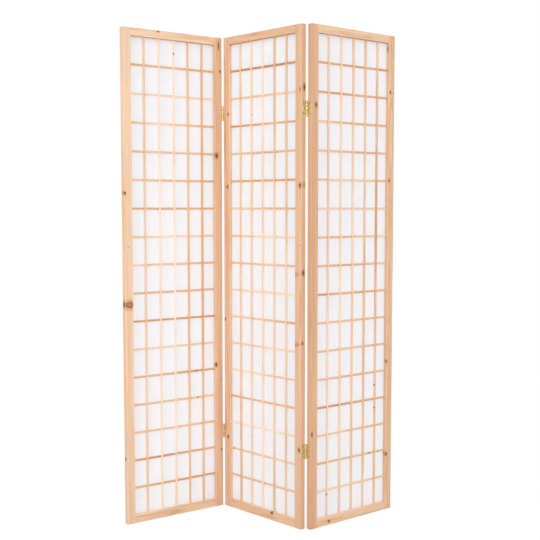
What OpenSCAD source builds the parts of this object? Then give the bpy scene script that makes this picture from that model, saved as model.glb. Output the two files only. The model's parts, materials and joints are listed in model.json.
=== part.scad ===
// Folding room divider: three lattice panels of pine with paper behind, on four brass butt hinges.
// Each panel is drawn flat, front face on y = 0, its lower left front corner at the origin,
// then turned and moved to its place in the zigzag. Millimetres, z up, front towards -y.

/* [Panels] */
// Width of one panel
panel_w = 400; // [360:5:480]
// Height of one panel
panel_h = 1700; // [1400:10:1900]
// Thickness of the frame
panel_t = 19; // [19:0.5:26]

/* [Standing position] */
// Angle between the left and the middle panel, seen from the front
left_fold = 95.8; // [60:0.1:150]
// Angle between the middle and the right panel, seen from the back
right_fold = 92.2; // [60:0.1:150]
// Turn of the middle panel away from facing the front
middle_turn = 47.3; // [20:0.1:70]

/* [Frame] */
// Width of a stile, seen from the front
stile_w = 31; // [28:0.5:40]
// Height of the top rail
top_rail_h = 27.5; // [24:0.5:40]
// Height of the bottom rail
bottom_rail_h = 29.5; // [24:0.5:45]
// Eased edge along stiles and rails
frame_ease = 1; // [0.4:0.1:1.5]
// Diameter of the dowels in the corner joints
dowel_d = 6; // [4:0.5:6]
// Length of a dowel
dowel_l = 30; // [20:1:36]
// From the rail's outer edge to the centre of its first dowel
dowel_edge = 7; // [6:0.5:8]
// From the first dowel of a joint to the second
dowel_pitch = 9.5; // [8:0.5:10]

/* [Lattice] */
// Number of horizontal slats
rows = 16; // [8:1:20]
// From one vertical slat to the next
column_pitch = 58.6; // [40:0.1:60]
// How far the middle one of the vertical slats stands right of the panel's middle
column_shift = 1.5; // [0:0.1:3]
// Width of a vertical slat
upright_w = 6.5; // [5:0.5:9]
// Height of a horizontal slat
crossbar_h = 7; // [5:0.5:9]
// From the front of the frame to the vertical slats
upright_recess = 4.5; // [3:0.5:6]
// Thickness of a vertical slat
upright_t = 6; // [5:0.5:6.5]
// From the front of the vertical slats to that of the horizontal ones
crossbar_step = 1; // [0.5:0.1:1.5]
// Depth of the notches in the horizontal slats
lap_depth = 2; // [1.5:0.1:2.5]
// Length of a slat's end inside the frame
tenon_l = 5; // [3:0.5:6]
// Eased edge along the slats
slat_ease = 0.5; // [0.2:0.1:0.8]

/* [Paper] */
// Thickness of the paper
paper_t = 0.4; // [0.3:0.1:0.8]
// Width of the paper's edge inside the frame's groove
paper_tuck = 3.5; // [2:0.1:3.5]

/* [Hinges] */
// Height of a hinge
hinge_h = 50; // [40:1:64]
// From the top of the panel to the centre of the left fold's upper hinge
upper_hinge_z = 266; // [150:1:400]
// From the floor to the centre of the left fold's lower hinge
lower_hinge_z = 279; // [150:1:400]
// How much lower the hinges of the right fold sit
right_hinge_drop = 10; // [0:1:40]
// Gap between two panels in one line, which is also the knuckle's diameter
panel_gap = 7; // [6:0.2:9]
// From the frame's face out to the hinge pin
pin_out = 1; // [1:0.1:2]
// Diameter of the hinge pin
pin_d = 3; // [2.4:0.1:3]
// Radius of the pin's button ends
button_r = 2.6; // [2:0.1:2.9]
// Height of the pin's button ends
button_h = 1.8; // [1:0.1:2.5]
// From the pin's centre to the leaf's far edge
leaf_w = 19; // [16:0.5:19]
// Thickness of a leaf
leaf_t = 1.3; // [1.2:0.1:1.4]
// Number of knuckles on a hinge
knuckles = 5; // [3:2:5]

/* [Screws] */
// Number of screws in a leaf
screws = 3; // [2:1:3]
// From one screw to the next along the leaf
screw_pitch = 16; // [12:0.5:16]
// From the pin's centre to the outer screws
screw_far = 12.2; // [11.5:0.1:12.5]
// How much nearer to the pin the next screw sits
screw_stagger = 3; // [1:0.1:4]
// Diameter of a screw's shank
shank_d = 3; // [2.5:0.1:3.2]
// Diameter of a screw's head
head_d = 5.2; // [4.6:0.1:5.4]
// Length of a screw
screw_l = 16; // [12:0.5:20]

/* [Clearances] */
// Around a slat's end and in the laps
slat_clear = 0.1; // [0.05:0.01:0.2]
// In front of and behind the paper
paper_clear = 0.05; // [0.03:0.01:0.1]
// Around the dowels, screws and hinge pins
round_clear = 0.05; // [0.03:0.01:0.08]
// Between two knuckles
knuckle_gap = 0.3; // [0.2:0.05:0.5]
// Behind the end of a dowel or a screw
end_clear = 0.5; // [0.3:0.1:1]

/* [Hidden] */
$fn = 48;
pine = [0.93, 0.76, 0.6];
pale_pine = [0.95, 0.8, 0.64];
beech = [0.85, 0.7, 0.52];
white_paper = [0.96, 0.95, 0.93];
brass = [0.8, 0.66, 0.34];
bright_brass = [0.86, 0.72, 0.42];

// How far a cut runs past a face so that it leaves no skin
past = 1;

// Depths, counted from the front of the frame
crossbar_front = upright_recess + crossbar_step;
lattice_back = upright_recess + upright_t;
groove_t = paper_t + 2 * paper_clear;
groove_depth = paper_tuck + end_clear;

// Each panel has five vertical slats, each a piece with its own name
columns = 5;

// Positions of the slats
inner_w = panel_w - 2 * stile_w;
inner_h = panel_h - top_rail_h - bottom_rail_h;
row_gap = (inner_h - rows * crossbar_h) / (rows + 1);
function column_x(i) =
    panel_w / 2 + column_shift + (i - (columns - 1) / 2) * column_pitch;
function row_z(j) = bottom_rail_h + row_gap + crossbar_h / 2 + j * (row_gap + crossbar_h);

// The knuckles' outside touches the plane of the frame's edge
knuckle_r = panel_gap / 2;
pin_r = pin_d / 2;
knuckle_h = (hinge_h - (knuckles - 1) * knuckle_gap) / knuckles;
function knuckle_z(k) = -hinge_h / 2 + k * (knuckle_h + knuckle_gap);
left_lower_z = lower_hinge_z;
left_upper_z = panel_h - upper_hinge_z;
right_lower_z = left_lower_z - right_hinge_drop;
right_upper_z = left_upper_z - right_hinge_drop;

// The screws stand in a zigzag; the middle one is nearer to the pin
shank_r = shank_d / 2;
head_r = head_d / 2;
head_h = head_r - shank_r;
function screw_z(k) = (k - (screws - 1) / 2) * screw_pitch;
function screw_y(k) = screw_far - (k % 2) * screw_stagger;
tip_h = shank_d;
driver_w = 0.7;
driver_depth = 0.8;

// Turns of the panels about the vertical
middle_a = -middle_turn;
left_a = middle_a + 180 - left_fold;
right_a = middle_a + 180 - right_fold;

// Both hinge lines in the middle panel's own frame, then in the neighbours' own frames
front_pin_y = -pin_out;
back_pin_y = panel_t + pin_out;
near_pin_x = -panel_gap / 2;
far_pin_x = panel_w + panel_gap / 2;

function turned(p, a) = [p.x * cos(a) - p.y * sin(a), p.x * sin(a) + p.y * cos(a)];
left_at = turned([near_pin_x, front_pin_y], middle_a) - turned([far_pin_x, front_pin_y], left_a);
right_at = turned([far_pin_x, back_pin_y], middle_a) - turned([near_pin_x, back_pin_y], right_a);

// The panels' outlines from above give the middle of the whole, which becomes the origin
function outline(w, t, c) =
    [[c, 0], [w - c, 0], [w, c], [w, t - c], [w - c, t], [c, t], [0, t - c], [0, c]];
panel_outline = outline(panel_w, panel_t, frame_ease);
corners = concat(
    [for (p = panel_outline) turned(p, left_a) + left_at],
    [for (p = panel_outline) turned(p, middle_a)],
    [for (p = panel_outline) turned(p, right_a) + right_at]
);
corner_xs = [for (p = corners) p.x];
corner_ys = [for (p = corners) p.y];
centre = [
    (min(corner_xs) + max(corner_xs)) / 2,
    (min(corner_ys) + max(corner_ys)) / 2
];

// Places of the panels in the zigzag
module in_left_panel() {
    translate([left_at.x - centre.x, left_at.y - centre.y, 0]) rotate([0, 0, left_a]) children();
}

module in_middle_panel() {
    translate([-centre.x, -centre.y, 0]) rotate([0, 0, middle_a]) children();
}

module in_right_panel() {
    translate([right_at.x - centre.x, right_at.y - centre.y, 0]) rotate([0, 0, right_a]) children();
}

// A bar along z whose four long edges are eased
module upright_bar(w, t, h, ease) {
    linear_extrude(height = h) polygon(outline(w, t, ease));
}

// The same bar lying along x
module lying_bar(l, t, h, ease) {
    translate([0, 0, h]) rotate([0, 90, 0]) upright_bar(h, t, l, ease);
}

// Round hole or rod along +x from the origin
module along_x(r, l) {
    rotate([0, 90, 0]) cylinder(r = r, h = l);
}

// Heights of the dowels' centres in both corner joints of a stile
dowel_heights = [
    dowel_edge, dowel_edge + dowel_pitch,
    panel_h - dowel_edge - dowel_pitch, panel_h - dowel_edge
];

module dowel_holes() {
    for (z = dowel_heights)
        translate([stile_w - dowel_l / 2 - end_clear, panel_t / 2, z])
            along_x(dowel_d / 2 + round_clear, dowel_l + 2 * end_clear);
}

// Screw holes behind a hinge leaf; hinge_side is 1 at the left fold, whose pins are at the
// front, and -1 at the right fold, whose pins are at the back
module pilot_holes(hinge_side) {
    pin_y = hinge_side > 0 ? front_pin_y : back_pin_y;
    heights = hinge_side > 0 ? [left_lower_z, left_upper_z] : [right_lower_z, right_upper_z];
    for (z = heights, k = [0:screws - 1])
        translate([-past, pin_y + hinge_side * screw_y(k), z + screw_z(k)])
            along_x(shank_r + round_clear, past + screw_l - leaf_t + end_clear);
}

// Left stile of a panel; a stile without a hinge has hinge_side = 0
module stile(hinge_side) {
    color(pine) difference() {
        upright_bar(stile_w, panel_t, panel_h, frame_ease);
        for (j = [0:rows - 1])
            translate([stile_w - tenon_l - slat_clear,
                       crossbar_front - slat_clear,
                       row_z(j) - crossbar_h / 2 - slat_clear])
                cube([tenon_l + slat_clear + past,
                      lattice_back - crossbar_front + 2 * slat_clear,
                      crossbar_h + 2 * slat_clear]);
        translate([stile_w - groove_depth, lattice_back, bottom_rail_h - groove_depth])
            cube([groove_depth + past, groove_t, inner_h + 2 * groove_depth]);
        dowel_holes();
        if (hinge_side != 0) pilot_holes(hinge_side);
    }
}

module mirrored_stile(hinge_side) {
    translate([panel_w, 0, 0]) mirror([1, 0, 0]) stile(hinge_side);
}

// Rail with its slot for the paper, its mortises for the vertical slats and its dowel holes,
// drawn with the inner edge up, at the height 0 to h
module rail(h) {
    color(pine) translate([stile_w, 0, 0]) difference() {
        lying_bar(inner_w, panel_t, h, frame_ease);
        translate([-past, lattice_back, h - groove_depth])
            cube([inner_w + 2 * past, groove_t, groove_depth + past]);
        for (i = [0:columns - 1])
            translate([column_x(i) - stile_w - upright_w / 2 - slat_clear,
                       upright_recess - slat_clear,
                       h - tenon_l - slat_clear])
                cube([upright_w + 2 * slat_clear,
                      upright_t + 2 * slat_clear,
                      tenon_l + slat_clear + past]);
        for (x = [0, inner_w], z = [dowel_edge, dowel_edge + dowel_pitch])
            translate([x - dowel_l / 2 - end_clear, panel_t / 2, z])
                along_x(dowel_d / 2 + round_clear, dowel_l + 2 * end_clear);
    }
}

module bottom_rail() {
    rail(bottom_rail_h);
}

module top_rail() {
    translate([0, 0, panel_h]) mirror([0, 0, 1]) rail(top_rail_h);
}

// Vertical slat, notched at the back where the horizontal slats cross it
module upright(i) {
    color(pale_pine)
        translate([column_x(i) - upright_w / 2, upright_recess, bottom_rail_h - tenon_l])
            difference() {
                upright_bar(upright_w, upright_t, inner_h + 2 * tenon_l, slat_ease);
                for (j = [0:rows - 1])
                    translate([-past,
                               crossbar_step + lap_depth,
                               row_z(j) - crossbar_h / 2 - slat_clear
                                   - bottom_rail_h + tenon_l])
                        cube([upright_w + 2 * past, upright_t,
                              crossbar_h + 2 * slat_clear]);
            }
}

// Horizontal slats, notched at the front where the vertical slats cross them
module crossbars() {
    crossbar_t = lattice_back - crossbar_front;
    color(pale_pine)
        for (j = [0:rows - 1])
            translate([stile_w - tenon_l, crossbar_front, row_z(j) - crossbar_h / 2])
                difference() {
                    lying_bar(inner_w + 2 * tenon_l, crossbar_t, crossbar_h, slat_ease);
                    for (i = [0:columns - 1])
                        translate([column_x(i) - upright_w / 2 - slat_clear
                                       - stile_w + tenon_l,
                                   -past, -past])
                            cube([upright_w + 2 * slat_clear,
                                  lap_depth + slat_clear + past,
                                  crossbar_h + 2 * past]);
                }
}

// Paper sheet against the back of the lattice, its edges in the frame's groove
module paper() {
    color(white_paper)
        translate([stile_w - paper_tuck, lattice_back + paper_clear, bottom_rail_h - paper_tuck])
            cube([inner_w + 2 * paper_tuck, paper_t, inner_h + 2 * paper_tuck]);
}

module dowels() {
    color(beech)
        for (x = [stile_w, panel_w - stile_w], z = dowel_heights)
            translate([x - dowel_l / 2, panel_t / 2, z]) along_x(dowel_d / 2, dowel_l);
}

// Hinges are drawn about their pin, with the frame's edge at x = knuckle_r and the leaf along +y.
// The inner leaf, on the middle panel, has the even knuckles and the outer leaf the odd ones.
module leaf(first) {
    color(brass) difference() {
        union() {
            translate([knuckle_r - leaf_t, 0, -hinge_h / 2]) cube([leaf_t, leaf_w, hinge_h]);
            for (k = [first:2:knuckles - 1])
                translate([0, 0, knuckle_z(k)]) cylinder(r = knuckle_r, h = knuckle_h);
        }
        translate([0, 0, -hinge_h / 2 - past])
            cylinder(r = pin_r + round_clear, h = hinge_h + 2 * past);
        for (k = [1 - first:2:knuckles - 1])
            translate([-panel_gap, -panel_gap, knuckle_z(k) - knuckle_gap])
                cube([2 * panel_gap, panel_gap + knuckle_r + knuckle_gap,
                      knuckle_h + 2 * knuckle_gap]);
        for (k = [0:screws - 1])
            translate([knuckle_r - leaf_t, screw_y(k), screw_z(k)]) rotate([0, 90, 0]) {
                translate([0, 0, -past])
                    cylinder(r = shank_r + round_clear, h = leaf_t + 2 * past);
                translate([0, 0, -round_clear])
                    cylinder(r1 = head_r + 2 * round_clear, r2 = shank_r + round_clear,
                             h = head_h + round_clear);
            }
    }
}

module leaf_screws() {
    color(bright_brass)
        for (k = [0:screws - 1])
            translate([knuckle_r - leaf_t + round_clear, screw_y(k), screw_z(k)])
                rotate([0, 90, 0]) difference() {
                    union() {
                        cylinder(r1 = head_r, r2 = shank_r, h = head_h);
                        cylinder(r = shank_r, h = screw_l - tip_h);
                        translate([0, 0, screw_l - tip_h])
                            cylinder(r1 = shank_r, r2 = 0.2 * shank_r, h = tip_h);
                    }
                    for (turn = [0, 90])
                        rotate([0, 0, turn + 45])
                            translate([-driver_w / 2, -head_r * 0.6, -past])
                                cube([driver_w, head_r * 1.2, driver_depth + past]);
                }
}

// Pin with a rounded button at each end, which rests on the outermost knuckles
module hinge_pin() {
    color(brass) {
        translate([0, 0, -hinge_h / 2]) cylinder(r = pin_r, h = hinge_h);
        for (flip = [0, 180])
            rotate([flip, 0, 0]) translate([0, 0, hinge_h / 2]) button();
    }
}

module button() {
    rotate_extrude() polygon([
        [0, 0], [button_r, 0], [button_r, button_h * 0.4],
        [button_r * 0.85, button_h * 0.75], [button_r * 0.5, button_h * 0.95], [0, button_h]
    ]);
}

// The inner leaf of a left hinge stands at the middle panel's left edge, the outer leaf
// at the left panel's right edge; the right hinges are the same, turned half round
module left_hinge_inner(z) {
    in_middle_panel() translate([near_pin_x, front_pin_y, z]) children();
}

module left_hinge_outer(z) {
    in_left_panel() translate([far_pin_x, front_pin_y, z]) mirror([1, 0, 0]) children();
}

module right_hinge_inner(z) {
    in_middle_panel() translate([far_pin_x, back_pin_y, z]) rotate([0, 0, 180]) children();
}

module right_hinge_outer(z) {
    in_right_panel() translate([near_pin_x, back_pin_y, z]) mirror([0, 1, 0]) children();
}

in_left_panel() stile(0);  // left_panel_left_stile
in_left_panel() mirrored_stile(1);  // left_panel_right_stile
in_left_panel() top_rail();  // left_panel_top_rail
in_left_panel() bottom_rail();  // left_panel_bottom_rail
in_left_panel() upright(0);  // left_panel_upright_1
in_left_panel() upright(1);  // left_panel_upright_2
in_left_panel() upright(2);  // left_panel_upright_3
in_left_panel() upright(3);  // left_panel_upright_4
in_left_panel() upright(4);  // left_panel_upright_5
in_left_panel() crossbars();  // left_panel_crossbars
in_left_panel() paper();  // left_panel_paper
in_left_panel() dowels();  // left_panel_dowels

in_middle_panel() stile(1);  // middle_panel_left_stile
in_middle_panel() mirrored_stile(-1);  // middle_panel_right_stile
in_middle_panel() top_rail();  // middle_panel_top_rail
in_middle_panel() bottom_rail();  // middle_panel_bottom_rail
in_middle_panel() upright(0);  // middle_panel_upright_1
in_middle_panel() upright(1);  // middle_panel_upright_2
in_middle_panel() upright(2);  // middle_panel_upright_3
in_middle_panel() upright(3);  // middle_panel_upright_4
in_middle_panel() upright(4);  // middle_panel_upright_5
in_middle_panel() crossbars();  // middle_panel_crossbars
in_middle_panel() paper();  // middle_panel_paper
in_middle_panel() dowels();  // middle_panel_dowels

in_right_panel() stile(-1);  // right_panel_left_stile
in_right_panel() mirrored_stile(0);  // right_panel_right_stile
in_right_panel() top_rail();  // right_panel_top_rail
in_right_panel() bottom_rail();  // right_panel_bottom_rail
in_right_panel() upright(0);  // right_panel_upright_1
in_right_panel() upright(1);  // right_panel_upright_2
in_right_panel() upright(2);  // right_panel_upright_3
in_right_panel() upright(3);  // right_panel_upright_4
in_right_panel() upright(4);  // right_panel_upright_5
in_right_panel() crossbars();  // right_panel_crossbars
in_right_panel() paper();  // right_panel_paper
in_right_panel() dowels();  // right_panel_dowels

left_hinge_inner(left_lower_z) leaf(0);  // left_lower_hinge_inner_leaf
left_hinge_outer(left_lower_z) leaf(1);  // left_lower_hinge_outer_leaf
left_hinge_inner(left_lower_z) hinge_pin();  // left_lower_hinge_pin
left_hinge_inner(left_lower_z) leaf_screws();  // left_lower_hinge_inner_screws
left_hinge_outer(left_lower_z) leaf_screws();  // left_lower_hinge_outer_screws

left_hinge_inner(left_upper_z) leaf(0);  // left_upper_hinge_inner_leaf
left_hinge_outer(left_upper_z) leaf(1);  // left_upper_hinge_outer_leaf
left_hinge_inner(left_upper_z) hinge_pin();  // left_upper_hinge_pin
left_hinge_inner(left_upper_z) leaf_screws();  // left_upper_hinge_inner_screws
left_hinge_outer(left_upper_z) leaf_screws();  // left_upper_hinge_outer_screws

right_hinge_inner(right_lower_z) leaf(0);  // right_lower_hinge_inner_leaf
right_hinge_outer(right_lower_z) leaf(1);  // right_lower_hinge_outer_leaf
right_hinge_inner(right_lower_z) hinge_pin();  // right_lower_hinge_pin
right_hinge_inner(right_lower_z) leaf_screws();  // right_lower_hinge_inner_screws
right_hinge_outer(right_lower_z) leaf_screws();  // right_lower_hinge_outer_screws

right_hinge_inner(right_upper_z) leaf(0);  // right_upper_hinge_inner_leaf
right_hinge_outer(right_upper_z) leaf(1);  // right_upper_hinge_outer_leaf
right_hinge_inner(right_upper_z) hinge_pin();  // right_upper_hinge_pin
right_hinge_inner(right_upper_z) leaf_screws();  // right_upper_hinge_inner_screws
right_hinge_outer(right_upper_z) leaf_screws();  // right_upper_hinge_outer_screws
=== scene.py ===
import json
import math

import bpy
import numpy as np
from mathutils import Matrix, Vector


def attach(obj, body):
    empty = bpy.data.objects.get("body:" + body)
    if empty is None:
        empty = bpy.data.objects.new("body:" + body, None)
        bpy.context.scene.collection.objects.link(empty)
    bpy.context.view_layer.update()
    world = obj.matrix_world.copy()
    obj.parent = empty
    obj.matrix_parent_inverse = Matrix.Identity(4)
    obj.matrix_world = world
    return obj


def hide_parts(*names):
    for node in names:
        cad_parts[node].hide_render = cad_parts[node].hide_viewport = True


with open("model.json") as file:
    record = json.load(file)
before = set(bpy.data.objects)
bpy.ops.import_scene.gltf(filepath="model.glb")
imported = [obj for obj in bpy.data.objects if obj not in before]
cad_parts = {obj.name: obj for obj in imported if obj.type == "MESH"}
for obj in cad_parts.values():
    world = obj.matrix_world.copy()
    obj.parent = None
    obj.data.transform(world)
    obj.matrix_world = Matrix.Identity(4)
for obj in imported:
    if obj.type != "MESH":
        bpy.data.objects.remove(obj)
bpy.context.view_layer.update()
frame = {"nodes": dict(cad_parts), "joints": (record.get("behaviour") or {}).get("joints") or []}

scene = bpy.context.scene
scene.view_settings.view_transform = "Standard"

# The camera stands a little right of the divider's middle, at chest height, and looks
# slightly down. A long lens keeps the panels' edges almost upright.
camera_lens = bpy.data.cameras.new("camera")
camera_lens.sensor_width = 36
camera_lens.lens = 67.76
camera_lens.shift_y = 0.0394
camera_lens.clip_end = 60
camera = bpy.data.objects.new("camera", camera_lens)
camera.location = (0.0312, -3.5486, 1.0954)
camera.rotation_euler = (math.radians(85.321), 0, 0)
scene.collection.objects.link(camera)
scene.camera = camera


# The studio: a pale floor, soft light from all round that is strongest from above, and two
# big soft lamps in front. Seen directly, or in metal, the surroundings are plain white.
def colour(code):
    """Linear colour of an sRGB hex code: c / 12.92 up to 0.04045, above it ((c + 0.055) / 1.055) ^ 2.4."""
    c = np.array([int(code[i : i + 2], 16) for i in (0, 2, 4)]) / 255
    linear = np.where(c <= 0.04045, c / 12.92, ((c + 0.055) / 1.055) ** 2.4)
    return (*[float(x) for x in linear], 1.0)


def add(tree, kind, sockets=None, **settings):
    """One node of the given kind. Each socket takes a value or the output that feeds it."""
    made = tree.nodes.new("ShaderNode" + kind)
    for name, value in settings.items():
        setattr(made, name, value)
    for name, value in (sockets or {}).items():
        if isinstance(value, bpy.types.NodeSocket):
            tree.links.new(value, made.inputs[name])
        else:
            made.inputs[name].default_value = value
    return made


def new_material(name):
    """An empty node material and its node tree."""
    made = bpy.data.materials.new(name)
    made.use_nodes = True
    made.node_tree.nodes.clear()
    return made, made.node_tree


def seen_directly(tree):
    """1 for a ray from the camera, off metal or through glass, and 0 for one that only carries light."""
    path = add(tree, "LightPath").outputs
    either = add(tree, "Math", {0: path["Is Camera Ray"], 1: path["Is Glossy Ray"]}, operation="MAXIMUM")
    both = add(tree, "Math", {0: either.outputs[0], 1: path["Is Transmission Ray"]}, operation="MAXIMUM")
    return both.outputs[0]


world = bpy.data.worlds.new("studio")
world.use_nodes = True
air = world.node_tree
air.nodes.clear()
from_above = add(air, "SeparateXYZ", {0: add(air, "TexCoord").outputs["Generated"]}).outputs["Z"]
# Full strength straight above, and 55 percent of it at the horizon and below
level = add(air, "MapRange", {"Value": from_above, "To Min": 0.55}).outputs[0]
soft_light = add(air, "Background", {"Color": colour("FFFFFF"), "Strength": level})
white_room = add(air, "Background", {"Color": colour("FFFFFF"), "Strength": 1.0})
chosen = add(air, "MixShader", {0: seen_directly(air), 1: soft_light.outputs[0], 2: white_room.outputs[0]})
add(air, "OutputWorld", {"Surface": chosen.outputs[0]})
scene.world = world

floor_radius, rim_points = 7.0, 96
turn = np.linspace(0, 2 * np.pi, rim_points, endpoint=False)
rim = np.stack([floor_radius * np.cos(turn), floor_radius * np.sin(turn), 0 * turn], 1)
floor_mesh = bpy.data.meshes.new("floor")
floor_mesh.from_pydata(rim.tolist(), [], [list(range(rim_points))])
floor = bpy.data.objects.new("floor", floor_mesh)
scene.collection.objects.link(floor)

# Matt white floor paper: it holds the object's soft shadow and fades to plain white outwards
floor_paint, f = new_material("matt_white_floor")
place = add(f, "TexCoord").outputs["Object"]
away = add(f, "VectorMath", {0: place}, operation="LENGTH").outputs["Value"]
fade = add(f, "MapRange", {"Value": away, "From Min": 0.7, "From Max": 2.0}, interpolation_type="SMOOTHSTEP")
lit = add(f, "BsdfDiffuse", {"Color": colour("6E6E6E")})
glow = add(f, "Emission", {"Color": colour("FFFFFF"), "Strength": 0.86})
lit_white = add(f, "AddShader", {0: lit.outputs[0], 1: glow.outputs[0]})
plain_white = add(f, "Emission", {"Color": colour("FFFFFF"), "Strength": 1.0})
seen = add(f, "MixShader", {0: fade.outputs[0], 1: lit_white.outputs[0], 2: plain_white.outputs[0]})
pale = add(f, "BsdfDiffuse", {"Color": colour("D8D7D6")})
floor_look = add(f, "MixShader", {0: seen_directly(f), 1: pale.outputs[0], 2: seen.outputs[0]})
add(f, "OutputMaterial", {"Surface": floor_look.outputs[0]})
floor_mesh.materials.append(floor_paint)

# Where each lamp hangs, how wide it is and its watts. Both are turned to the divider's middle
lamps = {
    "key_lamp": ((2.6, -3.4, 1.4), 2.2, 58.0),
    "fill_lamp": ((-3.4, -3.6, 1.4), 2.2, 82.0),
}
lamps_aim = Vector((0, 0, 0.85))
for name, (spot, size, watts) in lamps.items():
    lamp = bpy.data.lights.new(name, "AREA")
    lamp.shape, lamp.size, lamp.energy = "DISK", size, watts
    holder = bpy.data.objects.new(name, lamp)
    holder.location = spot
    way = lamps_aim - holder.location
    holder.rotation_euler = way.to_track_quat("-Z", "Y").to_euler()
    scene.collection.objects.link(holder)


# The three frames: two upright stiles and two rails each, of planed knotty pine, 19 mm
# thick. The long edges are sanded round, and the rails are dowelled between the stiles.
panel_width, panel_height, panel_thick = 0.400, 1.700, 0.019
stile_width, top_rail_height, bottom_rail_height = 0.031, 0.0275, 0.0295
frame_edge, frame_end_edge, joint_edge = 0.0013, 0.0008, 0.0004
# A fold's pin stands in the middle of the gap between two panels, 1 mm out of their front or back
fold_gap, pin_out = 0.007, 0.001
past_left, past_right = -fold_gap / 2, panel_width + fold_gap / 2
before_front, behind_back = -pin_out, panel_thick + pin_out
pin_at = {joint["name"]: joint["pos_m"] for joint in frame["joints"]}
# At its lower limit a fold brings the outer panel in line with the middle one, so the difference
# between their turns is that limit
in_line = {joint["name"]: joint["range_deg"][0] for joint in frame["joints"]}
middle_turn = -47.3
# How far each panel is turned from facing the front, in degrees, the fold whose pin it hangs on,
# and that pin's place across and through the flat panel
panels = {
    "left_panel": (middle_turn - in_line["left_fold"], "left_fold", past_right, before_front),
    "middle_panel": (middle_turn, "left_fold", past_left, before_front),
    "right_panel": (middle_turn - in_line["right_fold"], "right_fold", past_left, behind_back),
}


def onto_panel(points, panel):
    """From a flat panel to its place: x and y turned by the panel's angle about the pin of its fold."""
    angle, fold, pin_x, pin_y = panels[panel]
    c, s = math.cos(math.radians(angle)), math.sin(math.radians(angle))
    x, y = points[:, 0] - pin_x, points[:, 1] - pin_y
    return np.stack([x * c - y * s + pin_at[fold][0], x * s + y * c + pin_at[fold][1], points[:, 2]], 1)


def rounded_rectangle(corner_steps, width_steps, thick_steps):
    """Once round a rectangle with rounded corners. A point is (sa (w/2 - r) + r ca, sb (t/2 - r) + r cb),
    where sa and sb go from 1 to -1 or back along a side, and ca and cb are the cosine and the sine of
    the way that the edge faces. This gives sa, sb, ca and cb."""
    # A side's first and last points lie close to the corners, so that its middle shades flat
    near_corner = 0.03
    parts = []
    signs = [(1, 1), (-1, 1), (-1, -1), (1, -1)]
    for k in range(4):
        angle = np.pi / 2 * (k + np.linspace(0, 1, corner_steps))
        here, there = signs[k], signs[(k + 1) % 4]
        one = np.ones(corner_steps)
        parts.append(np.stack([here[0] * one, here[1] * one, np.cos(angle), np.sin(angle)]))
        steps = width_steps if k % 2 == 0 else thick_steps
        share = np.concatenate([[near_corner], np.linspace(0, 1, steps + 1)[1:-1], [1 - near_corner]])
        signs_here = [a + (b - a) * share for a, b in zip(here, there)]
        one = np.ones(len(share))
        parts.append(np.stack([*signs_here, np.cos(angle[-1]) * one, np.sin(angle[-1]) * one]))
    return np.concatenate(parts, 1)


# How far from its axis a knot bends the grain, in its own radii
knot_reach = 5.0


def knot_field(points, knots):
    """Each point's offset from the axis of its nearest knot, in knot radii, and that knot's radius.
    A knot is (across, deep, along, radius, stretch along the grain, axis). Out of every knot's reach
    the offset is one far value."""
    nearest = np.full(len(points), knot_reach)
    offset = np.tile([10 * knot_reach, 0.0, 0.0], (len(points), 1))
    radius = np.full(len(points), 0.001)
    for across, deep, along, size, stretch, axis in knots:
        way = np.array(axis, float) / np.linalg.norm(axis)
        gap = points - (across, deep, along)
        gap = gap - np.outer(gap @ way, way)
        gap = gap / (size * np.array([1.0, 1.0, stretch]))
        far = np.linalg.norm(gap, axis=1)
        use = far < nearest
        nearest[use], offset[use], radius[use] = far[use], gap[use], size
    return offset, radius


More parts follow.
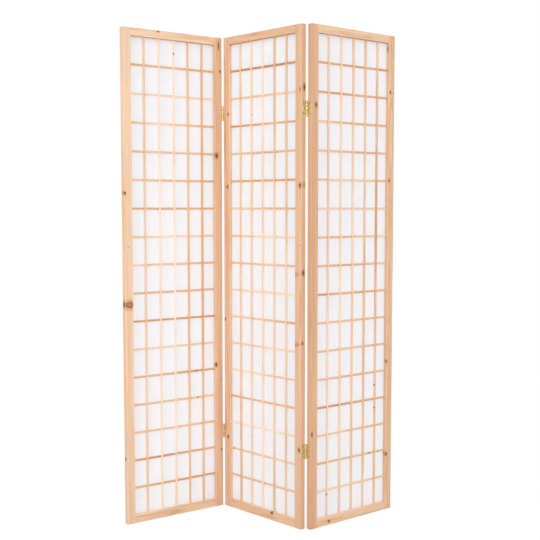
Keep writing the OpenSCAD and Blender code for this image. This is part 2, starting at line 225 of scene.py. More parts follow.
def sawn_bar(
    width, thick, length, edge, end_edge, step, steps,
    pith, lean, tones, painted_side_shading, knots, laps=(), lap_half=0.0, lap_deep=0.0,
):
    """A planed bar along its third axis: the rounded rectangle carried from 0 to the length. Its corner
    radius wanders by a fifth, a quarter circle i(l) rounds the two ends, and the ends close on a middle
    point: P = (sa (w/2 - r) + (r - i) ca, sb (t/2 - r) + (r - i) cb, l). A lap takes lap_deep off the back,
    or off the front if it is negative. pith is where the tree's middle lies from the bar's middle, and lean
    how it runs off. tones run from foot to head. The two side faces are painted deeper by the two side
    amounts, and paler where one is negative: painted shade and light for how the light falls on them."""
    # Cross sections: one at each step, closer ones past each knot, and a pair at each wall of a lap
    knot_step = 0.6
    by_knots = [
        middle + np.arange(-knot_reach, knot_reach + 0.01, knot_step) * radius * max(1.0, stretch / 2)
        for _, _, middle, radius, stretch, _ in knots
    ]
    wall = 0.00001
    by_laps = [
        np.array([c - lap_half - wall, c - lap_half + wall, c + lap_half - wall, c + lap_half + wall])
        for c in laps
    ]
    along = np.concatenate([np.arange(step, length - step / 2, step), *by_knots, *by_laps])
    along = np.unique(np.round(along[(along > 2 * end_edge) & (along < length - 2 * end_edge)], 6))
    round_end = np.linspace(0, np.pi / 2, 4)
    end_along, end_in = end_edge * (1 - np.cos(round_end)), end_edge * (1 - np.sin(round_end))
    # Two smaller outlines on each end face, between its rim and its middle point
    shrink = np.array([0.45, 0.93])
    l = np.concatenate([[0, 0], end_along, along, length - end_along[::-1], [length, length]])
    inset = np.concatenate([[end_edge] * 2, end_in, 0 * along, end_in[::-1], [end_edge] * 2])
    scale = np.concatenate([shrink, np.ones(len(l) - 4), shrink[::-1]])
    sa, sb, ca, cb = rounded_rectangle(*steps)
    wander = 0.12 * np.sin(l * 19 + pith[0] * 900) + 0.08 * np.sin(l * 71 + pith[1] * 700)
    r, i = (edge * (1 + wander))[:, None], inset[:, None]
    a = (sa * (width / 2 - r) + (r - i) * ca) * scale[:, None]
    b = (sb * (thick / 2 - r) + (r - i) * cb) * scale[:, None]
    in_lap = np.zeros(len(l))
    for c in laps:
        in_lap[np.abs(l - c) < lap_half] = 1
    b = b - in_lap[:, None] * (lap_deep * (1 + sb) / 2 if lap_deep > 0 else lap_deep * (1 - sb) / 2)
    rows, ring = a.shape
    points = np.stack([a, b, np.broadcast_to(l[:, None], a.shape)], 2).reshape(-1, 3)
    points = np.concatenate([points, [[0, 0, 0], [0, 0, length]]])
    row, col = np.meshgrid(np.arange(rows - 1), np.arange(ring), indexing="ij")
    nxt = (col + 1) % ring
    quads = np.stack([row * ring + col, row * ring + nxt, (row + 1) * ring + nxt, (row + 1) * ring + col], 2)
    k = np.arange(ring)
    last = (rows - 1) * ring
    foot = np.stack([np.full(ring, rows * ring), (k + 1) % ring, k], 1)
    head = np.stack([np.full(ring, rows * ring + 1), last + k, last + (k + 1) % ring], 1)
    faces = quads.reshape(-1, 4).tolist() + foot.tolist() + head.tolist()
    offset, radius = knot_field(points, knots)
    timber = points - (pith[0], pith[1], -pith[2])
    timber[:, 0] -= lean[0] * points[:, 2] + lean[2] * np.sin(points[:, 2] * 3.1 + pith[2] * 5)
    timber[:, 1] -= lean[1] * points[:, 2]
    tone = np.interp(points[:, 2], np.linspace(0, length, len(tones)), tones)
    left, right = painted_side_shading
    # Painted shade and light: each side face's tone is shifted deeper by its amount, and paler for a negative
    # one, for how the light falls on that face
    tone[:-2] += np.tile(left * np.maximum(-ca, 0) + right * np.maximum(ca, 0), rows)
    end = np.concatenate([np.repeat(scale < 1, ring), [True, True]]).astype(float)
    return {
        "points": points,
        "faces": faces,
        "timber": timber,
        "knot": offset,
        "knot_size": radius,
        "tone": tone,
        "end": end,
    }


def laid(bar, lying, corner, width, thick):
    """The bar with its lower left front corner at the given point of the panel, upright or lying along x."""
    p = bar["points"] + (width / 2, thick / 2, 0)
    if lying:
        p = p[:, [2, 1, 0]]
        bar["faces"] = [f[::-1] for f in bar["faces"]]
    bar["points"] = p + corner
    return bar


def wooden_piece(name, panel, bars, material, slot, *cad_nodes):
    """One object of one or more bars, with its wood's attributes on its points, riding on its panel."""
    starts = np.cumsum([0] + [len(b["points"]) for b in bars])
    points = onto_panel(np.concatenate([b["points"] for b in bars]), panel)
    faces = [[i + int(s) for i in f] for b, s in zip(bars, starts) for f in b["faces"]]
    mesh = bpy.data.meshes.new(name)
    mesh.from_pydata(points.tolist(), [], faces)
    for key, kind, field in (
        ("timber", "FLOAT_VECTOR", "vector"),
        ("knot", "FLOAT_VECTOR", "vector"),
        ("knot_size", "FLOAT", "value"),
        ("tone", "FLOAT", "value"),
        ("end", "FLOAT", "value"),
    ):
        values = np.concatenate([b[key] for b in bars]).astype(np.float32)
        mesh.attributes.new(key, kind, "POINT").data.foreach_set(field, values.ravel())
    mesh.shade_smooth()
    mesh.materials.append(material)
    piece = bpy.data.objects.new(name, mesh)
    scene.collection.objects.link(piece)
    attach(piece, panel)
    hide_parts(*cad_nodes)


def sanded_pine(name, ring_gap, ring_share, fibre_share, patch_share, shades, bump):
    """Sanded softwood, bare or with a thin matt varnish. The eye sees pale wood with slightly darker, warmer
    year rings that run along the bar and part round the knots, fine fibres, and reddish brown knots with a
    dark rim. ring_gap is the width of a year, and each share how much of the shades it takes up."""
    made, t = new_material(name)
    timber = add(t, "Attribute", attribute_name="timber").outputs["Vector"]
    knot = add(t, "Attribute", attribute_name="knot").outputs["Vector"]
    size = add(t, "Attribute", attribute_name="knot_size").outputs["Fac"]
    tone = add(t, "Attribute", attribute_name="tone").outputs["Fac"]
    end = add(t, "Attribute", attribute_name="end").outputs["Fac"]
    # The knot's outline wanders a little from a circle
    raw = add(t, "VectorMath", {0: knot}, operation="LENGTH").outputs["Value"]
    wander = add(t, "TexNoise", {"Vector": knot, "Scale": 0.9, "Detail": 3.0, "Roughness": 0.6})
    far = add(t, "Math", {0: wander.outputs["Fac"], 1: 0.7, 2: raw}, operation="MULTIPLY_ADD")
    far = add(t, "Math", {0: far.outputs[0], 1: 0.35}, operation="SUBTRACT").outputs[0]
    # The grain steps aside by R^2 / d outside the knot, less what would be left at its reach, so that the
    # rings flow round it
    squared = add(t, "VectorMath", {0: knot, 1: knot}, operation="DOT_PRODUCT").outputs["Value"]
    squared = add(t, "Math", {0: squared, 1: 1.0}, operation="MAXIMUM").outputs[0]
    inverse = add(t, "Math", {0: 1.0, 1: squared}, operation="DIVIDE").outputs[0]
    left_over = 1 / knot_reach**2
    fading = add(t, "Math", {0: inverse, 1: left_over}, operation="SUBTRACT", use_clamp=True).outputs[0]
    pull = add(t, "Math", {0: size, 1: fading}, operation="MULTIPLY").outputs[0]
    aside = add(t, "VectorMath", {0: knot, "Scale": pull}, operation="SCALE").outputs[0]
    grain = add(t, "VectorMath", {0: timber, 1: aside}, operation="SUBTRACT").outputs[0]
    # Year rings: distance from the tree's middle, which wavers by up to 7 mm, in waves 26 mm across
    # and 220 mm along the trunk
    waver_at = add(t, "VectorMath", {0: grain, 1: (38.0, 38.0, 4.5)}, operation="MULTIPLY").outputs[0]
    waver = add(t, "TexNoise", {"Vector": waver_at, "Scale": 1.0, "Detail": 2.0}).outputs["Fac"]
    flat = add(t, "VectorMath", {0: grain, 1: (1.0, 1.0, 0.0)}, operation="MULTIPLY").outputs[0]
    ring_at = add(t, "VectorMath", {0: flat}, operation="LENGTH").outputs["Value"]
    ring_at = add(t, "Math", {0: waver, 1: 0.007, 2: ring_at}, operation="MULTIPLY_ADD").outputs[0]
    year = add(t, "Math", {0: ring_at, 1: ring_gap}, operation="DIVIDE").outputs[0]
    season = add(t, "Math", {0: year}, operation="FRACT").outputs[0]
    late = add(t, "ValToRGB", {"Fac": season})
    ramp = late.color_ramp
    ramp.interpolation = "EASE"
    ramp.elements[0].position, ramp.elements[0].color = 0.0, (0.25, 0.25, 0.25, 1)
    ramp.elements[1].position, ramp.elements[1].color = 1.0, (0.25, 0.25, 0.25, 1)
    for position, depth in ((0.12, 0.0), (0.55, 0.12), (0.86, 1.0)):
        ramp.elements.new(position).color = (depth, depth, depth, 1)
    late = late.outputs["Color"]
    # Years differ in width and strength, so some rings hardly show
    strong_at = add(t, "Math", {0: year, 1: 0.31}, operation="MULTIPLY").outputs[0]
    strong = add(t, "TexNoise", {"W": strong_at, "Scale": 1.0, "Detail": 1.0}, noise_dimensions="1D")
    late = add(t, "Math", {0: late, 1: strong.outputs["Fac"]}, operation="MULTIPLY").outputs[0]
    # Fibres 0.7 mm wide and 45 mm long, drawn coarser than real ones so that they show, streaks of
    # 4 by 200 mm and patches of 22 by 380 mm
    fibre_at = add(t, "VectorMath", {0: grain, 1: (1500.0, 1500.0, 22.0)}, operation="MULTIPLY").outputs[0]
    fibre = add(t, "TexNoise", {"Vector": fibre_at, "Scale": 1.0, "Detail": 2.0}).outputs["Fac"]
    streak_at = add(t, "VectorMath", {0: grain, 1: (260.0, 260.0, 5.0)}, operation="MULTIPLY").outputs[0]
    streak = add(t, "TexNoise", {"Vector": streak_at, "Scale": 1.0, "Detail": 3.0}).outputs["Fac"]
    patch_at = add(t, "VectorMath", {0: grain, 1: (45.0, 45.0, 2.6)}, operation="MULTIPLY").outputs[0]
    patch = add(t, "TexNoise", {"Vector": patch_at, "Scale": 1.0, "Detail": 2.0}).outputs["Fac"]
    # Everything adds up to one number from the palest to the deepest shade of this wood
    shade = add(t, "Math", {0: late, 1: ring_share, 2: tone}, operation="MULTIPLY_ADD").outputs[0]
    for source, share in ((fibre, fibre_share), (streak, patch_share * 0.8), (patch, patch_share)):
        middle = add(t, "Math", {0: source, 1: 0.5}, operation="SUBTRACT").outputs[0]
        shade = add(t, "Math", {0: middle, 1: share * 2, 2: shade}, operation="MULTIPLY_ADD").outputs[0]
    # End grain is deeper, and so is the wood out to 2.6 radii from a knot
    shade = add(t, "Math", {0: end, 1: 0.22, 2: shade}, operation="MULTIPLY_ADD").outputs[0]
    near = add(
        t,
        "MapRange",
        {"Value": far, "From Min": 1.0, "From Max": 2.6, "To Min": 0.38, "To Max": 0.0},
        interpolation_type="SMOOTHSTEP",
    )
    shade = add(t, "Math", {0: shade, 1: near.outputs[0]}, operation="ADD").outputs[0]
    wood = add(t, "ValToRGB", {"Fac": shade})
    ramp = wood.color_ramp
    ramp.elements[0].position, ramp.elements[0].color = 0.0, colour(shades[0])
    ramp.elements[1].position, ramp.elements[1].color = 1.0, colour(shades[-1])
    for k, code in enumerate(shades[1:-1], 1):
        ramp.elements.new(k / (len(shades) - 1)).color = colour(code)
    # The knot itself has fine rings and a dark rim. A small one is dark right through, a big one pale
    # inside. The shades run from its middle to the wood outside
    small_knot = ("74401B", "8C5226", "7C471F", "59300F", "6C3D1B")
    big_knot = ("A8693E", "BF8153", "A5653A", "74401F", "8A522C")
    knot_at = add(t, "Math", {0: far, 1: 9.0, 2: fibre}, operation="MULTIPLY_ADD").outputs[0]
    knot_ring = add(t, "Math", {0: knot_at}, operation="SINE").outputs[0]
    knot_fac = add(t, "Math", {0: knot_ring, 1: 0.09, 2: far}, operation="MULTIPLY_ADD").outputs[0]
    knot_looks = []
    for codes in (small_knot, big_knot):
        look = add(t, "ValToRGB", {"Fac": knot_fac})
        look.color_ramp.elements[0].color = colour(codes[0])
        look.color_ramp.elements[1].color = colour(codes[4])
        for position, code in zip((0.45, 0.74, 0.88), codes[1:4]):
            look.color_ramp.elements.new(position).color = colour(code)
        knot_looks.append(look.outputs["Color"])
    big = add(t, "MapRange", {"Value": size, "From Min": 0.005, "From Max": 0.011})
    knot_look = add(t, "Mix", {"Factor": big.outputs[0]}, data_type="RGBA")
    t.links.new(knot_looks[0], knot_look.inputs["A"])
    t.links.new(knot_looks[1], knot_look.inputs["B"])
    inside = add(
        t,
        "MapRange",
        {"Value": far, "From Min": 0.86, "From Max": 1.12, "To Min": 1.0, "To Max": 0.0},
        interpolation_type="SMOOTHSTEP",
    )
    face = add(t, "Mix", {"Factor": inside.outputs[0]}, data_type="RGBA")
    t.links.new(wood.outputs["Color"], face.inputs["A"])
    t.links.new(knot_look.outputs["Result"], face.inputs["B"])
    # Late wood is harder and smoother, and stands a few hundredths of a millimetre proud
    gloss = add(t, "MapRange", {"Value": late, "To Min": 0.62, "To Max": 0.5})
    height = add(t, "Math", {0: late, 1: 0.6, 2: fibre}, operation="MULTIPLY_ADD").outputs[0]
    relief = add(t, "Bump", {"Height": height, "Strength": 0.35, "Distance": bump})
    skin = add(
        t,
        "BsdfPrincipled",
        {
            "Base Color": face.outputs["Result"],
            "Roughness": gloss.outputs[0],
            "Normal": relief.outputs[0],
            "Specular IOR Level": 0.3,
        },
    )
    add(t, "OutputMaterial", {"Surface": skin.outputs[0]})
    return made


pine_frame = sanded_pine(
    "sanded_pine_frame",
    ring_gap=0.0034,
    ring_share=0.42,
    fibre_share=0.10,
    patch_share=0.20,
    shades=("FAE3CE", "F1D4B8", "E7C2A1", "DBB08E", "CC9C77", "B6825B"),
    bump=0.00012,
)

front_to_back, side_to_side = (0.15, 1, 0.2), (1, 0.1, 0.25)
# Each bar's own board: its tone from 0, the palest, to 1, the deepest; how much deeper its left
# and right faces are painted (under and upper ones on a rail), which is painted shade and light, paler
# where negative, such as the painted shade under each top rail; where the tree's middle lies; how the
# grain leans; and its knots as (across, deep, along, radius, stretch, axis) in millimetres from the
# bar's lower left front corner
boards = {
    ("left_panel", "left_stile"): (
        0.3,
        (0.1, 0),
        (24, 30, 300),
        (0.004, 0.0, 0.003),
        [
            (16.5, 6, 766, 14.0, 0.72, front_to_back),
            (1, 8.5, 767, 5.2, 1.6, side_to_side),
            (3.5, 4, 1146, 3.5, 1.4, front_to_back),
            (13.6, 2, 962, 1.2, 1.6, front_to_back),
            (1, 10, 230, 3.2, 1.5, side_to_side),
        ],
    ),
    ("left_panel", "right_stile"): (
        0.5,
        (0, 0),
        (8, 22, 900),
        (-0.006, 0.004, 0.006),
        [
            (23.7, 2, 1582, 2.7, 1.3, front_to_back),
            (8, 4, 1283, 5.0, 1.5, front_to_back),
            (18, 1, 1672, 2.1, 34.0, front_to_back),
            (3.2, 2, 526, 3.6, 1.7, front_to_back),
            (25, 2, 472, 1.1, 1.5, front_to_back),
            (25, 2, 210, 2.2, 1.4, front_to_back),
        ],
    ),
    ("left_panel", "top_rail"): (
        0.3,
        (0.8, 0),
        (4, 40, 100),
        (0.01, 0.0, 0.002),
        [(24, 4, 108, 2.0, 2.4, front_to_back)],
    ),
    ("left_panel", "bottom_rail"): (
        0.4,
        (0, -0.2),
        (-6, 36, 500),
        (0.0, 0.01, 0.002),
        [],
    ),
    ("middle_panel", "left_stile"): (
        0.5,
        (0, -0.2),
        (-14, 34, 1500),
        (0.003, 0.002, 0.003),
        [
            (25, 3, 1430, 3.0, 1.0, front_to_back),
            (20.5, 3, 1172, 3.4, 1.4, front_to_back),
            (6, 3, 694, 3.0, 1.6, front_to_back),
            (19.7, 3, 260, 3.6, 1.5, front_to_back),
        ],
    ),
    ("middle_panel", "right_stile"): (
        0.5,
        (0, 0.1),
        (20, 26, 2100),
        (-0.004, 0.0, 0.004),
        [
            (30, 13, 1494, 4.6, 1.8, side_to_side),
            (24, 2, 1490, 1.0, 8.0, front_to_back),
            (24, 3, 1171, 4.2, 1.6, front_to_back),
            (30, 9, 878, 4.3, 1.6, side_to_side),
            (30, 6, 640, 2.8, 1.8, side_to_side),
            (21, 2, 972, 1.1, 1.5, front_to_back),
            (22, 3, 275, 3.6, 1.6, front_to_back),
        ],
    ),
    ("middle_panel", "top_rail"): (
        0.6,
        (0.8, 0),
        (5, 45, 700),
        (0.01, 0.0, 0.002),
        [],
    ),
    ("middle_panel", "bottom_rail"): (
        0.5,
        (0, -0.2),
        (-3, 28, 1100),
        (0.0, 0.012, 0.003),
        [(26, 3, 224, 4.0, 1.5, front_to_back)],
    ),
    ("right_panel", "left_stile"): (
        0.6,
        (0, 0),
        (16, 24, 2700),
        (0.003, 0.0, 0.003),
        [(20.8, 3, 1437, 3.9, 1.5, front_to_back), (6.5, 3, 329, 2.8, 2.4, front_to_back)],
    ),
    ("right_panel", "right_stile"): (
        0.5,
        (0, 0),
        (-8, 30, 3300),
        (0.004, 0.0, 0.003),
        [
            (10, 3, 1503, 2.9, 1.6, front_to_back),
            (30, 3, 1502, 1.3, 1.3, front_to_back),
            (7.5, 3, 1193, 2.9, 1.5, front_to_back),
            (4, 3, 545, 3.0, 1.6, front_to_back),
            (5, 3, 206, 4.2, 1.15, front_to_back),
            # Not a knot: a dark streak painted on the inner face just under the top rail, as painted shade in
            # that corner
            (0, 5, 1652, 1.8, 8.0, side_to_side),
        ],
    ),
    ("right_panel", "top_rail"): (
        0.4,
        (0.8, 0),
        (-4, 38, 1700),
        (0.012, 0.0, 0.003),
        [],
    ),
    ("right_panel", "bottom_rail"): (
        0.4,
        (0, -0.2),
        (4, 26, 2200),
        (0.0, 0.01, 0.004),
        [(13, 3, 57, 3.7, 1.2, front_to_back)],
    ),
}
clear_width = panel_width - 2 * stile_width
# Lower left front corner, width across the grain, length, and whether the bar lies along x
places = {
    "left_stile": ((0, 0, 0), stile_width, panel_height, False),
    "right_stile": ((panel_width - stile_width, 0, 0), stile_width, panel_height, False),
    "top_rail": ((stile_width, 0, panel_height - top_rail_height), top_rail_height, clear_width, True),
    "bottom_rail": ((stile_width, 0, 0), bottom_rail_height, clear_width, True),
}
# Distance between cross sections, and points round a corner, across the face and through the bar
frame_step, frame_steps = 0.012, (5, 8, 5)
for (panel, part), (tone, painted_side_shading, pith, lean, knots) in boards.items():
    corner, width, length, lying = places[part]
    in_bar = [
        (a / 1000 - width / 2, d / 1000 - panel_thick / 2, l / 1000, size / 1000, stretch, axis)
        for a, d, l, size, stretch, axis in knots
    ]
    end_edge = joint_edge if lying else frame_end_edge
    bar = sawn_bar(
        width, panel_thick, length, frame_edge, end_edge, frame_step, frame_steps,
        [p / 1000 for p in pith], lean, [tone], painted_side_shading, in_bar,
    )
    name = f"{panel}_{part}"
    bars = [laid(bar, lying, corner, width, panel_thick)]
    wooden_piece(f"{name}_pine", panel, bars, pine_frame, "pine_frame", name)


# The lattice: five thin upright slats with sixteen lying ones let into their backs by half
# laps, planed from pine sticks of mixed shades and held in the frame by short tenons.
upright_width, upright_front, upright_thick = 0.0065, 0.0045, 0.006
crossbar_width, crossbar_front, crossbar_thick = 0.007, 0.0055, 0.005
slat_edge, slat_end_edge, tenon, lap, lap_play = 0.0006, 0.0001, 0.005, 0.002, 0.00005
slat_step, slat_steps = 0.010, (4, 2, 2)
# Painted light on the slats' side faces: both are drawn paler than the front, for the light that falls on
# them
slat_painted_side_shading = (-0.1, -0.15)
columns, column_gap, column_shift = 5, 0.0586, 0.0015
upright_at = [panel_width / 2 + column_shift + (i - (columns - 1) / 2) * column_gap for i in range(columns)]
rows = 16
clear_height = panel_height - bottom_rail_height - top_rail_height
row_gap = (clear_height + crossbar_width) / (rows + 1)
crossbar_at = [bottom_rail_height - crossbar_width / 2 + (j + 1) * row_gap for j in range(rows)]
# The upright sticks of the two outer panels get a slightly redder copy of the slat wood: a painted tint for
# how the light falls on those two panels
slat_shades = {
    "reddish_painted_light": ("FAE7DA", "F3D9C2", "E8C3A3", "DAA77A", "C4885D", "A46A42"),
    "golden": ("FAE9D9", "F3DBC1", "E8C4A2", "DAA878", "C58A5A", "A66C3C"),
}
pine_slats = {
    hue: sanded_pine(
        f"sanded_{hue}_pine_slats",
        ring_gap=0.0021,
        ring_share=0.34,
        fibre_share=0.10,
        patch_share=0.22,
        shades=shades,
        bump=0.00008,
    )
    for hue, shades in slat_shades.items()
}
sticks = np.random.default_rng(16)
# Usual tone of the upright and of the lying sticks, and how far tones stray from it, from one
# stick to the next and along a stick
usual_upright, usual_crossbar = 0.35, 0.45
between_sticks, along_stick = 0.12, 0.06
# Knots of the sticks: across from the stick's middle, along from the floor or from the left stile,
# and the radius, in millimetres
upright_knots = {
    ("left_panel", 2): [(0.3, 1628, 2.0)],
    ("middle_panel", 1): [(1.5, 1420, 1.0)],
    ("right_panel", 4): [(0.5, 1650, 1.0), (-2.8, 464, 1.2), (-2.8, 381, 1.1)],
    ("right_panel", 0): [(-2.8, 107, 1.5)],
}
crossbar_knots = {
    ("left_panel", 3): [(0.5, 264, 1.8)],
    ("left_panel", 4): [(0.0, 259, 1.4)],
    ("middle_panel", 1): [(0.5, 13, 1.8)],
    ("right_panel", 1): [(0.5, 260, 1.6)],
}


def stick_of_wood(length, width, thick, usual, knots, laps, lap_half, lap_deep):
    """One slat: a sawn bar with its own draw of tones, tree and lean."""
    tones = usual + sticks.normal(0, between_sticks) + sticks.normal(0, along_stick, 4)
    pith = (sticks.uniform(-0.04, 0.04), sticks.uniform(0.012, 0.05), sticks.uniform(0, 9))
    lean = (sticks.normal(0, 0.004), sticks.normal(0, 0.004), 0.001)
    stretch, axis = 1.5, (0.1, 1, 0.2)
    knots = [(a / 1000, -thick / 2, l / 1000 + tenon, size / 1000, stretch, axis) for a, l, size in knots]
    return sawn_bar(
        width, thick, length, slat_edge, slat_end_edge, slat_step, slat_steps,
        pith, lean, tones, slat_painted_side_shading, knots, laps, lap_half, lap_deep,
    )


for panel in panels:
    # The outer panels' uprights take the redder copy, which is painted light
    upright_pine = pine_slats["golden" if panel == "middle_panel" else "reddish_painted_light"]
    for i in range(columns):
        from_floor = upright_knots.get((panel, i), [])
        knots = [(a, l - bottom_rail_height * 1000, size) for a, l, size in from_floor]
        bar = stick_of_wood(
            clear_height + 2 * tenon,
            upright_width,
            upright_thick,
            usual_upright,
            knots,
            [z - bottom_rail_height + tenon for z in crossbar_at],
            crossbar_width / 2 + lap_play,
            lap,
        )
        corner = (upright_at[i] - upright_width / 2, upright_front, bottom_rail_height - tenon)
        name = f"{panel}_upright_{i + 1}"
        bars = [laid(bar, False, corner, upright_width, upright_thick)]
        wooden_piece(f"{name}_pine", panel, bars, upright_pine, "pine_slats", name)
    bars = []
    for j in range(rows):
        bar = stick_of_wood(
            clear_width + 2 * tenon,
            crossbar_width,
            crossbar_thick,
            usual_crossbar,
            crossbar_knots.get((panel, j), []),
            [x - stile_width + tenon for x in upright_at],
            upright_width / 2 + lap_play,
            lap - crossbar_thick,
        )
        corner = (stile_width - tenon, crossbar_front, crossbar_at[j] - crossbar_width / 2)
        bars.append(laid(bar, True, corner, crossbar_width, crossbar_thick))
    name = f"{panel}_crossbars"
    wooden_piece(f"{name}_pine", panel, bars, pine_slats["golden"], "pine_slats", name)


# The paper: one white sheet behind each lattice, stretched flat, with its four edges in a
# groove of the frame. It is tough non-woven fibre paper that lets soft light through.
# paper_tuck is how far its edges go into the groove, and paper_at how far it lies behind the frame's front
paper_width, paper_height, paper_tuck, paper_at = 0.345, 1.650, 0.0035, 0.01065


def stretched_sheet(across, up):
    """A flat grid whose cells belly back between the slats by b sin^2(pi x / X) sin^2(pi z / Z), where X
    and Z are the distances between slats, and each cell has its own b."""
    x, z = np.meshgrid(np.linspace(0, paper_width, across), np.linspace(0, paper_height, up))
    px = x + stile_width - paper_tuck
    pz = z + bottom_rail_height - paper_tuck
    cell_x = (px - upright_at[0]) / column_gap
    cell_z = (pz - crossbar_at[0]) / row_gap
    # The cells are counted from the first slats, so those outside them need some spare draws
    least_belly, most_belly, spare = 0.00008, 0.00030, 2
    draw = np.random.default_rng(5).uniform(least_belly, most_belly, (24, 12))
    belly = draw[np.floor(cell_z).astype(int) + spare, np.floor(cell_x).astype(int) + spare]
    free_across = (px > stile_width) & (px < panel_width - stile_width)
    free_up = (pz > bottom_rail_height) & (pz < panel_height - top_rail_height)
    back = free_across * free_up * belly * np.sin(np.pi * cell_x) ** 2 * np.sin(np.pi * cell_z) ** 2
    return np.stack([px, paper_at + back, pz], 2).reshape(-1, 3)


# Non-woven paper: matt, near white, with long fibres that run upwards and show as faint streaks
# of 3 by 110 mm, hairs of 0.9 by 14 mm and clouds of 45 mm, lighter and darker than the sheet
fibre_paper, t = new_material("nonwoven_fibre_paper")
at = add(t, "TexCoord").outputs["Object"]
long_at = add(t, "VectorMath", {0: at, 1: (330.0, 330.0, 9.0)}, operation="MULTIPLY").outputs[0]
long_fibre = add(t, "TexNoise", {"Vector": long_at, "Scale": 1.0, "Detail": 4.0, "Roughness": 0.65})
hair_at = add(t, "VectorMath", {0: at, 1: (1100.0, 1100.0, 70.0)}, operation="MULTIPLY").outputs[0]
hair = add(t, "TexNoise", {"Vector": hair_at, "Scale": 1.0, "Detail": 2.0, "Distortion": 0.8}).outputs["Fac"]
cloud = add(t, "TexNoise", {"Vector": at, "Scale": 22.0, "Detail": 2.0}).outputs["Fac"]
mixed = add(t, "Math", {0: hair, 1: 0.5, 2: long_fibre.outputs["Fac"]}, operation="MULTIPLY_ADD").outputs[0]
mixed = add(t, "Math", {0: cloud, 1: 0.4, 2: mixed}, operation="MULTIPLY_ADD").outputs[0]
paleness = add(t, "MapRange", {"Value": mixed, "From Min": 0.7, "From Max": 1.2}).outputs[0]
sheet_colour = add(t, "ValToRGB", {"Fac": paleness})
ramp = sheet_colour.color_ramp
ramp.elements[0].position, ramp.elements[0].color = 0.0, colour("F0EFF2")
ramp.elements[1].position, ramp.elements[1].color = 1.0, colour("F8F7F9")
ramp.elements.new(0.5).color = colour("F4F4F7")
ripple = add(t, "Bump", {"Height": mixed, "Strength": 0.2, "Distance": 0.0001})
face = add(
    t,
    "BsdfPrincipled",
    {
        "Base Color": sheet_colour.outputs[0],
        "Roughness": 0.85,
        "Specular IOR Level": 0.15,
        "Normal": ripple.outputs[0],
    },
)
through_light = add(t, "BsdfTranslucent", {"Color": sheet_colour.outputs[0]})
whole = add(t, "MixShader", {0: 0.4, 1: face.outputs[0], 2: through_light.outputs[0]})
add(t, "OutputMaterial", {"Surface": whole.outputs[0]})

# Points across and up the sheet: one every 6 mm, about ten by sixteen to a cell of the lattice
across, up = 59, 265
row, col = np.meshgrid(np.arange(up - 1), np.arange(across - 1), indexing="ij")
start = row * across + col
sheet_faces = np.stack([start, start + 1, start + across + 1, start + across], 2).reshape(-1, 4).tolist()
for panel in panels:
    mesh = bpy.data.meshes.new(f"{panel}_paper_sheet")
    mesh.from_pydata(onto_panel(stretched_sheet(across, up), panel).tolist(), [], sheet_faces)
    mesh.shade_smooth()
    mesh.materials.append(fibre_paper)
    piece = bpy.data.objects.new(f"{panel}_paper_sheet", mesh)
    scene.collection.objects.link(piece)
    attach(piece, panel)
    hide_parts(f"{panel}_paper")


# The dowels: eight short beech pegs in each frame, glued into the stiles and the rails'
# ends. They are out of sight inside the joints, so the CAD pegs stay with their own wood.
# Turned beech: even pinkish tan with darker flecks along the grain, 6 mm long and 0.7 mm thick
beech, t = new_material("turned_beech_dowels")
at = add(t, "TexCoord").outputs["Object"]
fleck_at = add(t, "VectorMath", {0: at, 1: (160.0, 160.0, 1400.0)}, operation="MULTIPLY").outputs[0]
fleck = add(t, "TexNoise", {"Vector": fleck_at, "Scale": 1.0, "Detail": 3.0}).outputs["Fac"]
tint = add(t, "ValToRGB", {"Fac": fleck})
tint.color_ramp.elements[0].position, tint.color_ramp.elements[0].color = 0.35, colour("B98A62")
tint.color_ramp.elements[1].position, tint.color_ramp.elements[1].color = 0.6, colour("D9B48B")
peg = add(t, "BsdfPrincipled", {"Base Color": tint.outputs[0], "Roughness": 0.6, "Specular IOR Level": 0.3})
add(t, "OutputMaterial", {"Surface": peg.outputs[0]})
for panel in panels:
    node = frame["nodes"][f"{panel}_dowels"]
    node.data.materials.clear()
    node.data.materials.append(beech)


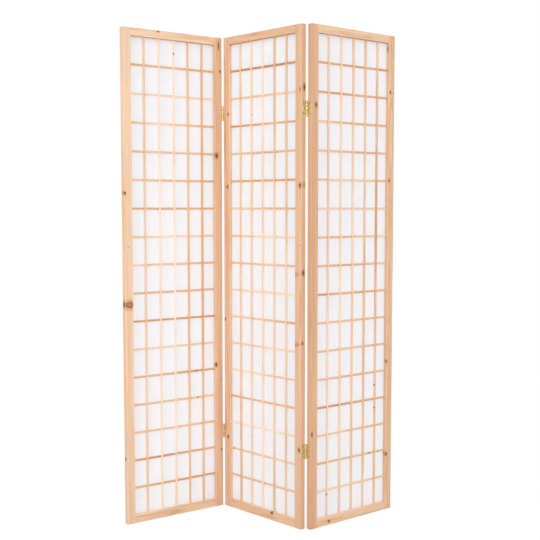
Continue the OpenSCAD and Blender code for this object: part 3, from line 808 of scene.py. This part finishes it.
# The hinges: four small brass butt hinges between the frames, each with two stamped leaves
# whose edges are rolled into knuckles, a drawn pin with button ends, and six screws.
def lacquered_brass(name, light, deep, rough_from, rough_to, lines):
    """Brass sheet or rod under clear lacquer: a warm metal, slightly streaked by rolling, with darker and
    paler spots about 4 mm wide painted into its colour as painted reflection. lines is how many streaks come
    to a metre along x, y and z."""
    made, t = new_material(name)
    at = add(t, "TexCoord").outputs["Object"]
    cloud = add(t, "TexNoise", {"Vector": at, "Scale": 260.0, "Detail": 4.0, "Roughness": 0.6}).outputs["Fac"]
    line_at = add(t, "VectorMath", {0: at, 1: lines}, operation="MULTIPLY").outputs[0]
    line = add(t, "TexNoise", {"Vector": line_at, "Scale": 1.0, "Detail": 2.0}).outputs["Fac"]
    # Painted reflection: the spots move the metal's colour between the deep and the light shade
    tint = add(t, "ValToRGB", {"Fac": cloud})
    tint.color_ramp.elements[0].position, tint.color_ramp.elements[0].color = 0.36, colour(deep)
    tint.color_ramp.elements[1].position, tint.color_ramp.elements[1].color = 0.58, colour(light)
    rough = add(
        t,
        "MapRange",
        {"Value": cloud, "From Min": 0.3, "From Max": 0.7, "To Min": rough_to, "To Max": rough_from},
    )
    height = add(t, "Math", {0: line, 1: 0.5, 2: cloud}, operation="MULTIPLY_ADD").outputs[0]
    relief = add(t, "Bump", {"Height": height, "Strength": 0.5, "Distance": 0.00012})
    metal = add(
        t,
        "BsdfPrincipled",
        {
            "Base Color": tint.outputs[0],
            "Metallic": 1.0,
            "Roughness": rough.outputs[0],
            "Normal": relief.outputs[0],
        },
    )
    add(t, "OutputMaterial", {"Surface": metal.outputs[0]})
    return made


leaf_brass = lacquered_brass("stamped_brass_leaves", "E8D3A2", "A88A52", 0.44, 0.62, (900.0, 900.0, 60.0))
pin_brass = lacquered_brass("drawn_brass_pins", "CDC09C", "A8966C", 0.42, 0.56, (900.0, 900.0, 40.0))
screw_brass = lacquered_brass("cut_brass_screws", "BE9F66", "7E6036", 0.36, 0.52, (700.0, 700.0, 700.0))
# Part of a hinge, its metal and slot, and how wide its worn edges are
for hinge in ("left_lower", "left_upper", "right_lower", "right_upper"):
    for part, metal, slot, worn in (
        ("inner_leaf", leaf_brass, "brass_hinges", 0.00022),
        ("outer_leaf", leaf_brass, "brass_hinges", 0.00022),
        ("pin", pin_brass, "brass_hinges", 0.00020),
        ("inner_screws", screw_brass, "brass_screws", 0.00012),
        ("outer_screws", screw_brass, "brass_screws", 0.00012),
    ):
        node = frame["nodes"][f"{hinge}_hinge_{part}"]
        node.data.materials.clear()
        node.data.materials.append(metal)
        # Tumbled in the works, so every edge is a little round. The node's loose triangles are joined
        # before that, slivers are closed after it, and flat faces are kept looking flat
        weld = node.modifiers.new("joined", "WELD")
        weld.merge_threshold = 0.00001
        bevel = node.modifiers.new("worn_edges", "BEVEL")
        bevel.width, bevel.segments = worn, 2
        bevel.limit_method, bevel.angle_limit = "ANGLE", math.radians(50)
        closed = node.modifiers.new("no_slivers", "WELD")
        closed.merge_threshold = 0.000002
        flat_faces = node.modifiers.new("flat_faces", "WEIGHTED_NORMAL")
        flat_faces.weight, flat_faces.keep_sharp = 100, True
